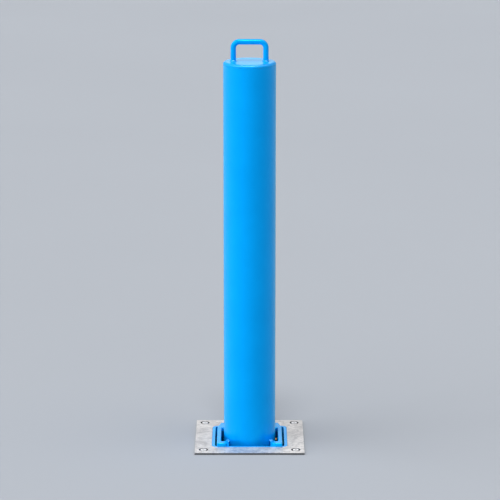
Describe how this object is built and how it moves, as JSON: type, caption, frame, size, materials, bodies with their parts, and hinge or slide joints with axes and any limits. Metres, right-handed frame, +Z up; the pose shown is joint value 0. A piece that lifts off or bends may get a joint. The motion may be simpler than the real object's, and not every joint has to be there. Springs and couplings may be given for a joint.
{
  "type": "removable bollard",
  "caption": "Round steel post with a bar handle that lifts out of a box socket in the ground, framed by a screwed plate and held by a key-turned bolt.",
  "frame": {"origin": "on the post's axis at ground level, which is the underside of the frame plate", "axes": "+Z up along the post, -Y the front, +X to the right of someone who faces the front"},
  "size_m": [0.286, 0.24, 1.171],
  "materials": {
    "blue_paint": "powder coat, light blue, half gloss with a fine grain",
    "galvanised_steel": "hot-dip galvanised with soft spangle",
    "screw_steel": "stainless, turned",
    "lock_steel": "stainless, fine turned",
    "bolt_brass": "turned brass, dull",
    "black_rubber": "matte"
  },
  "bodies": {
    "ground": {"frame_plate": "galvanised_steel", "frame_screws": "screw_steel", "weld_nuts": "screw_steel", "socket_sleeve": "blue_paint", "socket_floor": "blue_paint", "keeper_cover": "galvanised_steel", "corner_tab_front_left": "blue_paint", "corner_tab_front_right": "blue_paint", "corner_tab_back_left": "blue_paint", "corner_tab_back_right": "blue_paint", "anchor_strap_front_left": "galvanised_steel", "anchor_strap_front_right": "galvanised_steel", "anchor_strap_back_left": "galvanised_steel", "anchor_strap_back_right": "galvanised_steel"},
    "post": {"post_tube": "blue_paint", "top_cap": "blue_paint", "lift_handle": "blue_paint", "ear_left": "blue_paint", "ear_right": "blue_paint", "ear_gusset_left": "blue_paint", "ear_gusset_right": "blue_paint", "foot_plate": "blue_paint", "lock_bush": "lock_steel", "spindle_seal": "black_rubber", "bolt_guide_left": "lock_steel", "bolt_guide_right": "lock_steel"},
    "key": {"key_spindle": "lock_steel", "crank_arm": "lock_steel", "crank_pin": "lock_steel", "thrust_washer": "screw_steel", "crank_screw": "screw_steel"},
    "bolt": {"lock_bolt": "bolt_brass", "bolt_yoke": "lock_steel"}
  },
  "joints": [
    {"name": "post_lift", "type": "slide", "parent": "ground", "child": "post", "axis": [0, 0, 1], "range_m": [0, 0.3]},
    {"name": "key_turn", "type": "hinge", "parent": "post", "child": "key", "pos_m": [0, 0.045, 0.06], "axis": [0, -1, 0], "range_deg": [0, 61]},
    {"name": "bolt_slide", "type": "slide", "parent": "post", "child": "bolt", "axis": [1, 0, 0], "range_m": [0, 0.02]}
  ],
  "couplings": [
    {"joint": "key_turn", "follows": "bolt_slide", "rad_per_m": 52.359}
  ]
}
